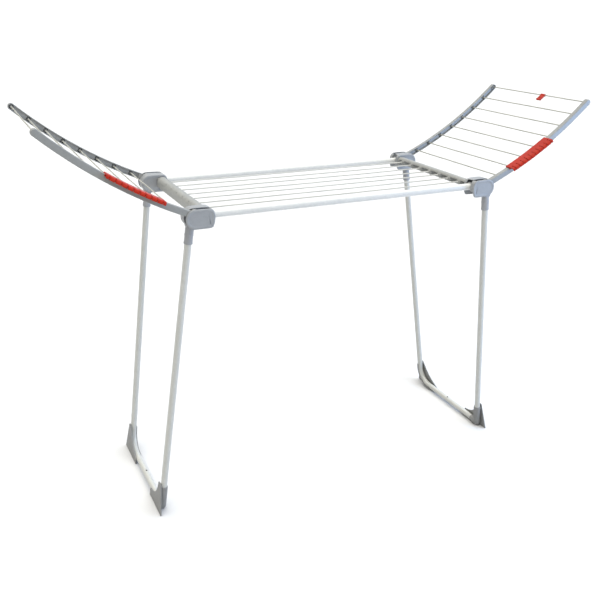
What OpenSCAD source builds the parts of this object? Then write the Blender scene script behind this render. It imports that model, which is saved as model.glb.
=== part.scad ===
// Folding clothes drying rack: a tubular centre frame with line wires, two
// curved wings that fold in over the middle, and two U-shaped leg frames that
// fold up underneath. Millimetres, +Z up, floor at z = 0.
// Origin: middle of the footprint. X runs from wing tip to wing tip, the hanger
// combs are on the front side (-Y). The shapes are drawn about the middle of the
// centre frame and then moved back by half of what the combs stand out in front.

/* [Centre frame] */
// Height of the rail axes above the floor
rail_h = 900; // [880:1:920]
// Half distance between the rail axes
rail_half = 212; // [211.5:0.1:212.5]
// Outer diameter of the rails
rail_d = 20; // [19:0.5:20]
// Wall thickness of all steel tubes
tube_wall = 1.2; // [1:0.1:1.5]
// Number of line wires between the rails
n_line = 7; // [5:2:7]
// Spacing of the line wires
line_pitch = 53; // [50:1:53]
// Diameter of every drying wire
wire_d = 3.2; // [3:0.1:3.4]

/* [Wings] */
// Number of wires on each wing
n_wing = 8; // [6:1:8]
// Spacing of the wing wires along the curved arm
wing_pitch = 53.85; // [50:0.05:54]
// Height of the arm section
arm_h = 18; // [17:0.5:19]
// Width of the arm section
arm_w = 14; // [13:0.5:14]
// Length of a hanger comb along the arm
comb_len = 162; // [150:1:162]
// Number of hanger slots in a comb
n_slot = 10; // [8:1:10]

/* [Leg frames] */
// Outer diameter of the leg tubes
leg_d = 19; // [18:0.5:19]
// Outward lean of each leg frame, degrees
lean = 7.65; // [7:0.05:8]
// Half distance between the legs of a frame at the floor
foot_half = 178; // [176:1:180]
// Bend radius of the bent leg, at the tube axis
bend_r = 60; // [58:1:62]

/* [Hidden] */
$fn = 64;
eps = 0.01;

grey = "#9a9ea3";
grey_foot = "#77797a";
white = "#ecebe4";
red = "#c8402f";

// ---- key positions, right-hand end; the left end is mirrored in X ----
bar_z = 15;                       // axis of the bottom bar above the floor
bar_x = 585.2;                    // axis of the bottom bar from the middle
hinge_x = 462;                    // wing hinge
hinge_z = rail_h + 10;
pivot_z = rail_h - 24;            // leg pivot
pivot_w = (pivot_z - bar_z) / cos(lean);        // distance up the leg plane
pivot_x = bar_x - pivot_w * sin(lean);
house_c = [463, rail_h - 3.3];   // centre of the round end of a housing
house_r = 26.5;
plate = 2.5;                      // housing cheek thickness
rail_end = 438;
line_z = rail_h + 4;
pin_d = 8;
fit = 0.05;                       // radial clearance of pins and sockets

// inner and outer faces of a housing
house_in = 190.7;
house_out = 238.8;
// middle of the wing arms, just inside the outer cheeks
arm_y = 228.6;
// middle of a leg at its pivot, by end: +1 right, -1 left.
// The right frame is the wider one, so that the two nest when folded.
function leg_y(s) = s > 0 ? 224.4 : 206.9;

// curved wing: an arc whose centre lies above the rack
arc_k = 0.000815;
arc_r = 1 / arc_k;
arc_a0 = 21.33;
arc_c = [448.1 - arc_r * sin(arc_a0), rail_h + arc_r * cos(arc_a0)];
s_first = 70.7;
function arc_a(s) = arc_a0 + s * arc_k * 180 / PI;
function arc_x(s, off = 0) = arc_c[0] + (arc_r - off) * sin(arc_a(s));
function arc_z(s, off = 0) = arc_c[1] - (arc_r - off) * cos(arc_a(s));
s_tip = s_first + (n_wing - 1) * wing_pitch;

comb_out = 259;                   // front edge of a hanger comb
module placed() translate([0, (comb_out - house_out) / 2, 0]) children();

// ---- helpers ----
// extrude an outline drawn in X-Z between two Y values
module xz(y0, y1) translate([0, y1, 0]) rotate([90, 0, 0]) linear_extrude(y1 - y0) children();
// cylinder along Y
module ycyl(x, z, r, y0, y1) translate([x, y0, z]) rotate([-90, 0, 0]) cylinder(r = r, h = y1 - y0);
// left or right, front or rear copy of a shape drawn for the right rear
module corner(sx, sy) mirror([sx < 0 ? 1 : 0, 0, 0]) mirror([0, sy < 0 ? 1 : 0, 0]) children();
module side(sx) mirror([sx < 0 ? 1 : 0, 0, 0]) children();

// ---- centre frame ----
module rail(sy) color(white) translate([-rail_end, sy * rail_half, rail_h]) rotate([0, 90, 0])
  tube(rail_d / 2, 2 * rail_end);

// profile of a crossbar in X-Z, t is the inset
module bar_profile(t) {
  x0 = 414; x1 = 443; zt = rail_h + 15; zb = rail_h - 14;
  translate([x0 + 8, zb]) square([x1 - x0 - 22, zt - zb - t]);
  intersection() {
    translate([x1 - 14, zt - 14]) circle(r = 14 - t);
    translate([x1 - 14, zt - 14]) square([14, 14]);
  }
  translate([x1 - 14 - eps, zb]) square([14 - t + eps, zt - 14 - zb]);
  intersection() {
    translate([x0 + 8, zt - 8]) circle(r = 8 - t);
    translate([x0, zt - 8]) square([8 + eps, 8]);
  }
  translate([x0 + t, zb]) square([8 - t + eps, zt - 8 - zb]);
}

module crossbar(s) {
  half = house_in - fit;
  color(grey) side(s) difference() {
    union() {
      difference() {
        xz(-half, half) bar_profile(0);
        translate([0, 0, -1]) xz(-half + 3, half - 3) bar_profile(2.8);
        // the inner wall is left only as a short tab at each wire boss
        for (i = [1 : n_line - 1]) {
          c = (i - n_line / 2) * line_pitch;
          translate([412, c - line_pitch / 2 + 8, rail_h - 15]) cube([6, line_pitch - 16, 23]);
        }
        for (m = [-1, 1]) translate([412, m > 0 ? (n_line - 1) / 2 * line_pitch + 8 : -half + 4.5, rail_h - 15])
          cube([6, half - 4.5 - (n_line - 1) / 2 * line_pitch - 8, 23]);
        translate([412, -half + 4.5, rail_h - 15]) cube([6, 2 * half - 9, 11.5]);
      }
      for (i = [0 : n_line - 1])
        translate([409, (i - (n_line - 1) / 2) * line_pitch, line_z]) rotate([0, 90, 0]) cylinder(r = 6, h = 14);
    }
    for (m = [-1, 1]) ycyl(screw_x, rail_h, 2 + fit, m > 0 ? house_in - 6 : -house_in - 1, m > 0 ? house_in + 1 : -house_in + 6);
    for (i = [0 : n_line - 1])
      translate([408, (i - (n_line - 1) / 2) * line_pitch, line_z]) rotate([0, 90, 0])
        cylinder(d = wire_d + 2 * fit, h = 12.2);
  }
}

module line_wires() color(white)
  for (i = [0 : n_line - 1])
    translate([-420, (i - (n_line - 1) / 2) * line_pitch, line_z]) rotate([0, 90, 0]) cylinder(d = wire_d, h = 840);

// outline of a housing cheek in X-Z, t is the inset
function cheek(t) = [
  [house_c[0], house_c[1] + house_r - t], [424 + 0.3 * t, house_c[1] + 25.2 - t],
  [416 + 0.7 * t, house_c[1] + 21.5 - 0.7 * t], [410.5 + t, house_c[1] + 13.5 - 0.4 * t],
  [408.5 + t, house_c[1] + 5], [410.5 + t, house_c[1] - 6], [416 + 0.9 * t, house_c[1] - 18 + 0.4 * t],
  [421 + 0.7 * t, house_c[1] - 24 + 0.8 * t], [428 + 0.2 * t, house_c[1] - house_r + t],
  [house_c[0], house_c[1] - house_r + t]];
module cheek_shape(t) {
  polygon(cheek(t));
  translate(house_c) circle(r = house_r - t, $fn = 96);
}
// the rim leaves the underside and lower inner end open for the leg;
// it is kept between x0 and x1
module rim(y0, y1, x0, x1) difference() {
  xz(y0, y1) cheek_shape(0);
  xz(y0 - 1, y1 + 1) cheek_shape(2.4);
  translate([400, y0 - 1, rail_h - 40]) cube([82, y1 - y0 + 2, 29]);
  translate([x0 - 100, y0 - 1, rail_h - 60]) cube([100, y1 - y0 + 2, 120]);
  translate([x1, y0 - 1, rail_h - 60]) cube([100, y1 - y0 + 2, 120]);
}
rim_x = 419.5;                    // where the path of the folding arm starts
screw_x = 429;                    // crossbar screw
stud = [446, rail_h - 7];         // stud that locates the cover on the base

module housing_cover(sx, sy) {
  o = house_out;
  a = arm_y + arm_w / 2;
  l = leg_y(sx) + 11.4;
  color(grey) corner(sx, sy) difference() {
    union() {
      xz(o - plate, o) cheek_shape(0);
      rim(rail_half + rail_d / 2 + 1.5, o - plate + eps, 400, rim_x);
      ycyl(hinge_x, hinge_z, 6.5, a + 0.5, o - plate + eps);
      if (sx < 0) ycyl(pivot_x, pivot_z, 6.5, l, o - plate + eps);
      ycyl(stud[0], stud[1], 4.2, a - 4, o - plate + eps);
    }
    ycyl(hinge_x, hinge_z, pin_d / 2 + fit, a, o - plate + 1.2);
    ycyl(pivot_x, pivot_z, pin_d / 2 + fit, l - 3, o - plate + 1.2);
    ycyl(stud[0], stud[1], 2 + fit, a - 5, o - plate - 1);
  }
}

module housing_base(sx, sy) {
  i = house_in;
  a = arm_y - arm_w / 2;
  l = leg_y(sx) - 11.4;
  color(grey) corner(sx, sy) difference() {
    union() {
      xz(i, i + plate) cheek_shape(0);
      rim(i + plate - eps, rail_half - rail_d / 2 - 1.5, 400, 430);
      rim(i + plate - eps, a - 0.8, rim_x, 500);
      // block that holds the end of the rail, below the path of the wing arm
      translate([415.5, i + plate - eps, rail_h - 11.4]) cube([26, rail_half + 11.3 - i - plate, 22.7]);
      ycyl(hinge_x, hinge_z, 6.5, i + plate - eps, a - 0.5);
      if (sx > 0) ycyl(pivot_x, pivot_z, 6.5, i + plate - eps, l);
      ycyl(stud[0], stud[1], 4.2, i + plate - eps, a + 9.8);
      ycyl(stud[0], stud[1], 2, i + plate, house_out - plate - 1.3);
    }
    ycyl(hinge_x, hinge_z, pin_d / 2 + fit, i + plate - 1.2, a);
    ycyl(pivot_x, pivot_z, pin_d / 2 + fit, i + plate - 1.2, l + 3);
    ycyl(screw_x, rail_h, 2 + fit, i - 1, i + 10);
    translate([405, rail_half, rail_h]) rotate([0, 90, 0]) cylinder(r = rail_d / 2 + fit, h = rail_end - 405 + 0.3);
  }
}

module wing_hinge_pins() color("silver")
  for (sx = [-1, 1], sy = [-1, 1]) corner(sx, sy)
    ycyl(hinge_x, hinge_z, pin_d / 2, house_in + plate - 1.1, house_out - plate + 1.1);

module leg_hinge_pins() color("silver")
  for (sx = [-1, 1], sy = [-1, 1]) corner(sx, sy)
    ycyl(pivot_x, pivot_z, pin_d / 2, house_in + plate - 1.1, house_out - plate + 1.1);

// the screws go in from inside the crossbar, through its end wall into the base
module housing_screws() color("silver")
  for (sx = [-1, 1], sy = [-1, 1]) corner(sx, sy) difference() {
    union() {
      ycyl(screw_x, rail_h, 2, house_in - 4, house_in + 9.6);
      ycyl(screw_x, rail_h, 3.6, house_in - 5.4, house_in - 3.1);
    }
    translate([screw_x - 2.4, house_in - 5.9, rail_h - 0.5]) cube([4.8, 1.5, 1]);
    translate([screw_x - 0.5, house_in - 5.9, rail_h - 2.4]) cube([1, 1.5, 4.8]);
  }

// ---- wings ----
// a section of the arc; the profile's x is distance below the arc centre, its y is -Y
module arc_sweep(s0, s1) translate([arc_c[0], 0, arc_c[1]]) rotate([90, 0, 0])
  rotate([0, 0, -90 + arc_a(s0)]) rotate_extrude(angle = arc_a(s1) - arc_a(s0), $fn = 720) children();
// place a shape on the arc at s, its x along the arm and its z square to it
module on_arc(s) translate([arc_x(s), 0, arc_z(s)]) rotate([0, -arc_a(s), 0]) children();

// arm drawn at the rear (+Y), open side facing the wires
module arm() {
  y0 = arm_y - arm_w / 2;
  y1 = arm_y + arm_w / 2;
  difference() {
    union() {
      // channel: web outside, two flanges
      arc_sweep(24, s_tip) translate([arc_r, 0]) {
        translate([-arm_h / 2, -y1]) square([arm_h, 2.6]);
        translate([-arm_h / 2, -y1]) square([2.4, arm_w]);
        translate([arm_h / 2 - 2.4, -y1]) square([2.4, arm_w]);
      }
      // solid root that joins the hinge eye
      difference() {
        arc_sweep(14, 38) translate([arc_r - arm_h / 2 - 0.25, -y1 + 0.2]) square([arm_h + 0.5, arm_w - 0.4]);
        ycyl(hinge_x, hinge_z, pin_d / 2 + fit, y0 - 1, y1 + 1);
      }
      ycyl(hinge_x, hinge_z, 11, y0 + 0.1, y1 - 0.1);
      ycyl(arc_x(s_tip), arc_z(s_tip), arm_h / 2 + 0.35, y0 + 0.3, y1 - 0.3);
      for (i = [0 : n_wing - 2]) on_arc(s_first + i * wing_pitch)
        translate([-4.5, y0 + 0.6, -arm_h / 2 + 1]) cube([9, arm_w - 1.6, arm_h - 2]);
    }
    ycyl(hinge_x, hinge_z, pin_d / 2 + fit, y0 - 1, y1 + 1);
    for (i = [0 : n_wing - 1])
      ycyl(arc_x(s_first + i * wing_pitch), arc_z(s_first + i * wing_pitch), wire_d / 2 + fit, y0 - 1, y1 - 2.5);
  }
}
module wing_arm(sx, sy) color(grey) corner(sx, sy) arm();

module wing_wires(sx) {
  y1 = arm_y + arm_w / 2 - 2.6;
  color(white) side(sx) for (i = [0 : n_wing - 1])
    ycyl(arc_x(s_first + i * wing_pitch), arc_z(s_first + i * wing_pitch), wire_d / 2, -y1, y1);
}

// hanger comb clipped over the top of a front arm, s0 is its hinge-side end
module comb(sx) {
  s0 = 106;
  a0 = arm_y - arm_w / 2;
  a1 = arm_y + arm_w / 2;
  out = comb_out;
  pitch = comb_len / n_slot;
  color(red) corner(sx, -1) difference() {
    arc_sweep(s0, s0 + comb_len) translate([arc_r - arm_h / 2, 0]) {
      translate([-4, -out + 9]) square([3.95, out - 9 - a0 + 2.4]);
      // rounded outer edge turned down
      translate([5, -out + 9]) intersection() {
        difference() { circle(r = 9); circle(r = 5.05); }
        translate([-9, -9]) square([9, 9 + eps]);
      }
      translate([5 - eps, -out]) square([1.2, 3.95]);
      // lip that hooks over the open side of the arm, and the ledge against its outer side
      translate([-4, -a0 + 0.2]) square([7, 2.2]);
      translate([-4, -a1 - 2.6]) square([9, 2.4]);
    }
    // slots, each opened to a round hole where the top turns down
    for (i = [0 : n_slot - 1]) on_arc(s0 + (i + 0.5) * pitch) {
      translate([-0.95, out - 16, -arm_h / 2]) cube([1.9, 18, arm_h + 8]);
      translate([0, out - 16, 5]) cylinder(r = 2.2, h = 12);
    }
  }
}

// clip on the outermost wire of the right wing, lying along the wing
clip_y = -33;
clip_a = 38;
module lock_clip() color(red) translate([arc_x(s_tip), clip_y, arc_z(s_tip)]) rotate([0, -clip_a, 0])
  difference() {
    union() {
      ycyl(0, 0, 4.1, -9.5, 9.5);
      translate([-21, -9.5, -2.4]) cube([20, 19, 4.8]);
      ycyl(-21.5, 0, 3.1, -9.5, 9.5);
    }
    ycyl(0, 0, wire_d / 2 + 0.08, -10.5, 10.5);
    translate([0.8, -10.5, -1.2]) cube([5, 21, 2.4]);
  }

// ---- leg frames ----
// plane of a leg frame: x is Y of the rack, y is distance up the frame, z is outward
module leg_plane() translate([bar_x, 0, bar_z]) rotate([0, -lean, 0]) rotate([90, 0, 90]) children();
function toe(s) = atan((leg_y(s) - foot_half) / pivot_w);
// along a leg axis, from the corner at the bottom bar; f is +1 rear, -1 front
module along_leg(s, f) translate([f * foot_half, 0, 0]) rotate([0, 0, -f * toe(s)]) rotate([-90, 0, 0]) children();
leg_len = pivot_w - 13;
module above_floor() intersection() {
  children();
  translate([300, -400, 0]) cube([500, 800, 950]);
}
module tube(r, h) difference() {
  cylinder(r = r, h = h);
  translate([0, 0, -1]) cylinder(r = r - tube_wall, h = h + 2);
}

module bent_leg(s) {
  r = leg_d / 2;
  phi = 90 - toe(s);
  t = bend_r * tan(phi / 2);
  color(white) side(s) leg_plane() {
    difference() {
      union() {
        translate([-166, 0, 0]) rotate([0, 90, 0]) tube(r, foot_half - t + 166);
        translate([foot_half - t, bend_r, 0]) rotate([0, 0, -90]) rotate_extrude(angle = phi, $fn = 128)
          translate([bend_r, 0]) difference() { circle(r = r); circle(r = r - tube_wall); }
        along_leg(s, 1) translate([0, 0, t]) tube(r, leg_len - t);
        // weld beads where the bend meets the straight lengths
        along_leg(s, 1) translate([0, 0, t - 0.5]) bead(r);
        translate([foot_half - t - 0.5, 0, 0]) rotate([0, 90, 0]) bead(r);
      }
      // drain hole in the middle of the bottom bar
      translate([0, r + 2, 0]) rotate([90, 0, 0]) cylinder(r = 2.6, h = 8);
    }
  }
}

module bead(r) difference() {
  cylinder(r = r + 0.03, h = 1);
  translate([0, 0, -1]) cylinder(r = r - tube_wall - 0.03, h = 3);
}

module straight_leg(s) color(white) side(s) leg_plane()
  along_leg(s, -1) translate([0, 0, 2]) tube(leg_d / 2, leg_len - 2);

module sleeve(s, f) {
  r = 11.5;
  ay = f * leg_y(s);
  color(grey) side(s) leg_plane() difference() {
    union() {
      along_leg(s, f) translate([0, 0, pivot_w - 51]) cylinder(r = r, h = 43);
      along_leg(s, f) translate([0, 0, pivot_w - 51]) cylinder(r1 = r - 0.8, r2 = r + 0.5, h = 5);
      along_leg(s, f) translate([0, 0, pivot_w - 27]) cylinder(r = r + 0.5, h = 3);
      translate([ay - 11, pivot_w, 0]) rotate([0, 90, 0]) cylinder(r = r, h = 22);
    }
    along_leg(s, f) translate([0, 0, pivot_w - 60]) cylinder(r = leg_d / 2 + fit, h = 47.3);
    translate([ay - 14, pivot_w, 0]) rotate([0, 90, 0]) cylinder(r = pin_d / 2 + fit, h = 28);
  }
}

fin_in = 9.7;
fin_out = 13.2;
module front_foot(s) {
  r = 12.3;
  color(grey_foot) side(s) above_floor() leg_plane() difference() {
    union() {
      // fin: a flat plate outside the leg, with a hollow-curved top edge
      translate([0, 0, fin_in]) linear_extrude(fin_out - fin_in) difference() {
        polygon([[-214.5, -24], [-190, 76.4], [-172, 76.4], [-97, 76.4], [-97, 10], [-92.5, -24]]);
        translate([-97, 78]) circle(r = 69);
        translate([-169, 74.4]) square([80, 80]);
      }
      along_leg(s, -1) cylinder(r = r, h = 66);
      translate([-foot_half, 0, 0]) sphere(r = r + 0.25);
      translate([-foot_half, 0, 0]) rotate([0, 90, 0]) cylinder(r = r - 0.2, h = 30);
    }
    along_leg(s, -1) translate([0, 0, 1.8]) cylinder(r = leg_d / 2 + fit, h = 70);
    translate([-166.3, 0, 0]) rotate([0, 90, 0]) cylinder(r = leg_d / 2 + fit, h = 40);
  }
}

module rear_foot(s) {
  phi = 90 - toe(s);
  t = bend_r * tan(phi / 2);
  color(grey_foot) side(s) above_floor() leg_plane() {
    // trough round the outside of the bend
    translate([foot_half - t, bend_r, 0]) rotate([0, 0, -90]) rotate_extrude(angle = phi, $fn = 128)
      translate([bend_r, 0]) trough(0);
    translate([foot_half - t - 14, 0, 0]) rotate([90, 0, 90]) rotate([0, 0, -90]) linear_extrude(14.6) trough(0.15);
    along_leg(s, 1) translate([0, 0, t - 0.6]) rotate([0, 0, 0]) linear_extrude(72 - t) trough(0.15);
    translate([0, 0, fin_in]) linear_extrude(fin_out - fin_in) difference() {
      polygon([[187.5, 80], [212, -24], [84, -24], [89, 3], [176, 80]]);
      translate([60, 112]) circle(r = 108);
    }
  }
}
// half ring on the +x side of the tube section
module trough(e) intersection() {
  difference() { circle(r = 12.3 - e); circle(r = leg_d / 2 + fit + e / 2); }
  translate([-2 + e, -13]) square([16, 26]);
}

placed() rail(-1);  // front_rail
placed() rail(1);  // rear_rail
placed() crossbar(-1);  // left_crossbar
placed() crossbar(1);  // right_crossbar
placed() line_wires();
placed() housing_cover(-1, -1);  // front_left_housing_cover
placed() housing_base(-1, -1);  // front_left_housing_base
placed() housing_cover(-1, 1);  // rear_left_housing_cover
placed() housing_base(-1, 1);  // rear_left_housing_base
placed() housing_cover(1, -1);  // front_right_housing_cover
placed() housing_base(1, -1);  // front_right_housing_base
placed() housing_cover(1, 1);  // rear_right_housing_cover
placed() housing_base(1, 1);  // rear_right_housing_base
placed() wing_hinge_pins();
placed() leg_hinge_pins();
placed() housing_screws();
placed() wing_arm(-1, -1);  // left_wing_front_arm
placed() wing_arm(-1, 1);  // left_wing_rear_arm
placed() wing_wires(-1);  // left_wing_wires
placed() comb(-1);  // left_hanger_comb
placed() wing_arm(1, -1);  // right_wing_front_arm
placed() wing_arm(1, 1);  // right_wing_rear_arm
placed() wing_wires(1);  // right_wing_wires
placed() comb(1);  // right_hanger_comb
placed() lock_clip();
placed() bent_leg(-1);  // left_bent_leg
placed() straight_leg(-1);  // left_straight_leg
placed() sleeve(-1, -1);  // left_front_sleeve
placed() sleeve(-1, 1);  // left_rear_sleeve
placed() front_foot(-1);  // left_front_foot
placed() rear_foot(-1);  // left_rear_foot
placed() bent_leg(1);  // right_bent_leg
placed() straight_leg(1);  // right_straight_leg
placed() sleeve(1, -1);  // right_front_sleeve
placed() sleeve(1, 1);  // right_rear_sleeve
placed() front_foot(1);  // right_front_foot
placed() rear_foot(1);  // right_rear_foot
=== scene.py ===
import bpy, bmesh, math, random
from mathutils import Vector, Matrix, noise


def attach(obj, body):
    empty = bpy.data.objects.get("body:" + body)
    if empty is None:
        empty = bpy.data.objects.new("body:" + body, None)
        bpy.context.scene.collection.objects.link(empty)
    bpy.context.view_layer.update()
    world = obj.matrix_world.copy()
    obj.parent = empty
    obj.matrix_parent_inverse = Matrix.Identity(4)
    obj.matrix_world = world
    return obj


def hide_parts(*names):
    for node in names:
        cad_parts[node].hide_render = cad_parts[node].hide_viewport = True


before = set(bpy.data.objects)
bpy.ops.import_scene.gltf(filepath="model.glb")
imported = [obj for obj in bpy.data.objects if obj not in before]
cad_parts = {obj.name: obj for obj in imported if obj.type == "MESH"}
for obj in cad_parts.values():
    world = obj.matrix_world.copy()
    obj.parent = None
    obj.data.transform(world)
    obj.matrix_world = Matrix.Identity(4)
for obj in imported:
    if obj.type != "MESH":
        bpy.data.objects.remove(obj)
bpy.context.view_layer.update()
MM = 0.001
DY = 10.1                         # the shapes are drawn about the centre frame, the combs stand out in front
rnd = random.Random(7)

# ------------------------------------------------------------------ dimensions (mm), as in the CAD model
RAIL_H, RAIL_HALF, RAIL_R, RAIL_END = 900.0, 212.0, 10.0, 438.0
LINE_Z = 904.0
HINGE = (462.0, 910.0)
LEAN = math.radians(7.65)
BAR = (585.2, 15.0)
PIVOT_Z = 876.0
PIVOT_W = (PIVOT_Z - BAR[1]) / math.cos(LEAN)
PIVOT_X = BAR[0] - PIVOT_W * math.sin(LEAN)
FOOT_HALF, BEND_R, LEG_R = 178.0, 60.0, 9.5
H_IN, H_OUT = 190.7, 238.8
ARM_Y0, ARM_Y1 = 221.6, 235.6
K = 0.000815
R = 1 / K
A0 = math.radians(21.33)
ARC_C = (448.1 - R * math.sin(A0), 900.0 + R * math.cos(A0))
S0, PITCH, NW = 70.7, 53.85, 8
S_TIP = S0 + (NW - 1) * PITCH


def leg_y(sx):
    return 224.4 if sx > 0 else 206.9


def arc(s, off=0.0):
    th = A0 + s * K
    return ARC_C[0] + (R - off) * math.sin(th), ARC_C[1] - (R - off) * math.cos(th)


def arc_ang(s):
    return A0 + s * K


# ------------------------------------------------------------------ materials
def mat(name, base, rough, build):
    m = bpy.data.materials.new(name)
    m.use_nodes = True
    nt = m.node_tree
    b = nt.nodes["Principled BSDF"]
    b.inputs["Base Color"].default_value = (*base, 1)
    b.inputs["Roughness"].default_value = rough
    build(nt, b)
    return m


def nd(nt, kind, **kw):
    n = nt.nodes.new(kind)
    for k, v in kw.items():
        if k in n.inputs:
            n.inputs[k].default_value = v
        else:
            setattr(n, k, v)
    return n


def noise_tex(nt, scale, detail=3.0, rough=0.55, vec=None, dist=0.0):
    n = nt.nodes.new("ShaderNodeTexNoise")
    n.inputs["Scale"].default_value = scale
    n.inputs["Detail"].default_value = detail
    n.inputs["Roughness"].default_value = rough
    n.inputs["Distortion"].default_value = dist
    if vec is not None:
        nt.links.new(vec, n.inputs["Vector"])
    return n


def ramp(nt, src, stops):
    r = nt.nodes.new("ShaderNodeValToRGB")
    el = r.color_ramp.elements
    while len(el) < len(stops):
        el.new(0.5)
    for e, (p, c) in zip(el, stops):
        e.position = p
        e.color = (*c, 1) if len(c) == 3 else c
    nt.links.new(src, r.inputs["Fac"])
    return r


def mix(nt, fac, a, b, mode="MIX"):
    m = nt.nodes.new("ShaderNodeMix")
    m.data_type = "RGBA"
    m.blend_type = mode
    if isinstance(fac, float):
        m.inputs[0].default_value = fac
    else:
        nt.links.new(fac, m.inputs[0])
    for i, v in ((6, a), (7, b)):
        if isinstance(v, tuple):
            m.inputs[i].default_value = (*v, 1)
        else:
            nt.links.new(v, m.inputs[i])
    return m.outputs[2]


def maprange(nt, src, a, b, c, d):
    m = nt.nodes.new("ShaderNodeMapRange")
    m.inputs["From Min"].default_value = a
    m.inputs["From Max"].default_value = b
    m.inputs["To Min"].default_value = c
    m.inputs["To Max"].default_value = d
    nt.links.new(src, m.inputs["Value"])
    return m.outputs["Result"]


def bump(nt, bsdf, height, strength, dist, normal=None):
    b = nt.nodes.new("ShaderNodeBump")
    b.inputs["Strength"].default_value = strength
    b.inputs["Distance"].default_value = dist
    nt.links.new(height, b.inputs["Height"])
    if normal is not None:
        nt.links.new(normal, b.inputs["Normal"])
    nt.links.new(b.outputs["Normal"], bsdf.inputs["Normal"])
    return b.outputs["Normal"]


def coords(nt, scale=(1, 1, 1)):
    tc = nt.nodes.new("ShaderNodeTexCoord")
    mp = nt.nodes.new("ShaderNodeMapping")
    mp.inputs["Scale"].default_value = scale
    nt.links.new(tc.outputs["Object"], mp.inputs["Vector"])
    return mp.outputs["Vector"]


def surface(base, dark, light, grain, grain_h, rough, rough_var, wear=None, wear_amt=0.35, spec=0.5, coat=0.0, coat_rough=0.2, streak=(1, 1, 1)):
    """Moulded or coated surface: two-tone mottling, fine grain, roughness variation and rubbed edges."""
    def build(nt, b):
        v = coords(nt)
        vs = coords(nt, streak)
        big = noise_tex(nt, 9, 4, 0.6, vs)
        mid = noise_tex(nt, 85, 3, 0.6, v, 0.4)
        fine = noise_tex(nt, grain, 2, 0.5, v)
        c1 = ramp(nt, big.outputs["Fac"], [(0.3, dark), (0.55, base), (0.78, light)])
        c2 = ramp(nt, mid.outputs["Fac"], [(0.35, (0.93, 0.93, 0.93)), (0.65, (1.0, 1.0, 1.0))])
        col = mix(nt, 1.0, c1.outputs["Color"], c2.outputs["Color"], "MULTIPLY")
        if wear is not None:
            geo = nt.nodes.new("ShaderNodeNewGeometry")
            edge = maprange(nt, geo.outputs["Pointiness"], 0.515, 0.60, 0.0, wear_amt)
            mul = nt.nodes.new("ShaderNodeMath")
            mul.operation = "MULTIPLY"
            nt.links.new(edge, mul.inputs[0])
            nt.links.new(maprange(nt, mid.outputs["Fac"], 0.35, 0.7, 0.3, 1.0), mul.inputs[1])
            col = mix(nt, mul.outputs[0], col, wear)
        nt.links.new(col, b.inputs["Base Color"])
        nt.links.new(maprange(nt, mid.outputs["Fac"], 0.3, 0.7, rough - rough_var, rough + rough_var), b.inputs["Roughness"])
        n1 = bump(nt, b, fine.outputs["Fac"], 0.35, grain_h)
        bump(nt, b, mid.outputs["Fac"], 0.12, grain_h * 3, n1)
        b.inputs["Specular IOR Level"].default_value = spec
        if coat:
            b.inputs["Coat Weight"].default_value = coat
            b.inputs["Coat Roughness"].default_value = coat_rough
    return build


M = {}
M["tube"] = mat("tube_paint", (0.56, 0.56, 0.535), 0.33, surface((0.565, 0.565, 0.54), (0.55, 0.55, 0.522), (0.58, 0.58, 0.558), 1500, 0.00005, 0.33, 0.05, spec=0.5, coat=0.3, coat_rough=0.15, streak=(0.4, 0.4, 0.4)))
# darker copy of the tube paint: painted shade for the leg tubes
M["leg"] = mat("leg_paint_painted_shade", (0.46, 0.46, 0.435), 0.33, surface((0.465, 0.465, 0.435), (0.45, 0.45, 0.418), (0.48, 0.48, 0.453), 1500, 0.00005, 0.33, 0.05, spec=0.5, coat=0.3, coat_rough=0.15, streak=(0.4, 0.4, 0.4)))
M["wire"] = mat("wire_coat", (0.37, 0.365, 0.32), 0.4, surface((0.37, 0.365, 0.32), (0.345, 0.34, 0.295), (0.395, 0.39, 0.345), 1800, 0.00005, 0.42, 0.08, spec=0.3))
# lighter copy of the wire coat: painted light for the line wires lit from above
M["line"] = mat("line_coat_painted_light", (0.49, 0.485, 0.45), 0.4, surface((0.49, 0.485, 0.45), (0.46, 0.455, 0.42), (0.52, 0.515, 0.48), 1800, 0.00005, 0.42, 0.08, spec=0.3))
# near-black painted shade for the hollow inside the floor bar
M["bare"] = mat("bare_tube_inside", (0.03, 0.03, 0.03), 0.6, surface((0.03, 0.03, 0.03), (0.02, 0.02, 0.02), (0.045, 0.042, 0.04), 1800, 0.00005, 0.6, 0.08, spec=0.2))
M["housing"] = mat("housing_plastic", (0.262, 0.270, 0.280), 0.5, surface((0.262, 0.270, 0.278), (0.248, 0.256, 0.264), (0.276, 0.284, 0.293), 2600, 0.00005, 0.44, 0.06, wear=(0.42, 0.42, 0.40)))
M["bar"] = mat("crossbar_plastic", (0.248, 0.250, 0.238), 0.5, surface((0.248, 0.250, 0.238), (0.236, 0.238, 0.226), (0.261, 0.263, 0.250), 2600, 0.00005, 0.46, 0.06, wear=(0.42, 0.42, 0.39)))
M["arm"] = mat("arm_plastic", (0.232, 0.236, 0.230), 0.5, surface((0.232, 0.236, 0.230), (0.219, 0.223, 0.217), (0.246, 0.250, 0.243), 2600, 0.00005, 0.44, 0.06, wear=(0.38, 0.38, 0.36), streak=(0.6, 1, 0.6)))
M["sleeve"] = mat("sleeve_plastic", (0.285, 0.29, 0.30), 0.5, surface((0.285, 0.29, 0.30), (0.27, 0.275, 0.285), (0.30, 0.305, 0.315), 2600, 0.00005, 0.42, 0.06, wear=(0.36, 0.37, 0.37)))
M["foot"] = mat("foot_plastic", (0.19, 0.19, 0.186), 0.55, surface((0.19, 0.19, 0.186), (0.175, 0.175, 0.171), (0.207, 0.207, 0.203), 2200, 0.00007, 0.5, 0.07, wear=(0.28, 0.28, 0.27), wear_amt=0.5))
M["red"] = mat("red_plastic", (0.36, 0.014, 0.005), 0.36, surface((0.35, 0.018, 0.007), (0.33, 0.016, 0.006), (0.375, 0.022, 0.009), 2400, 0.00003, 0.34, 0.05, wear=(0.50, 0.05, 0.02), wear_amt=0.4, spec=0.10))


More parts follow.
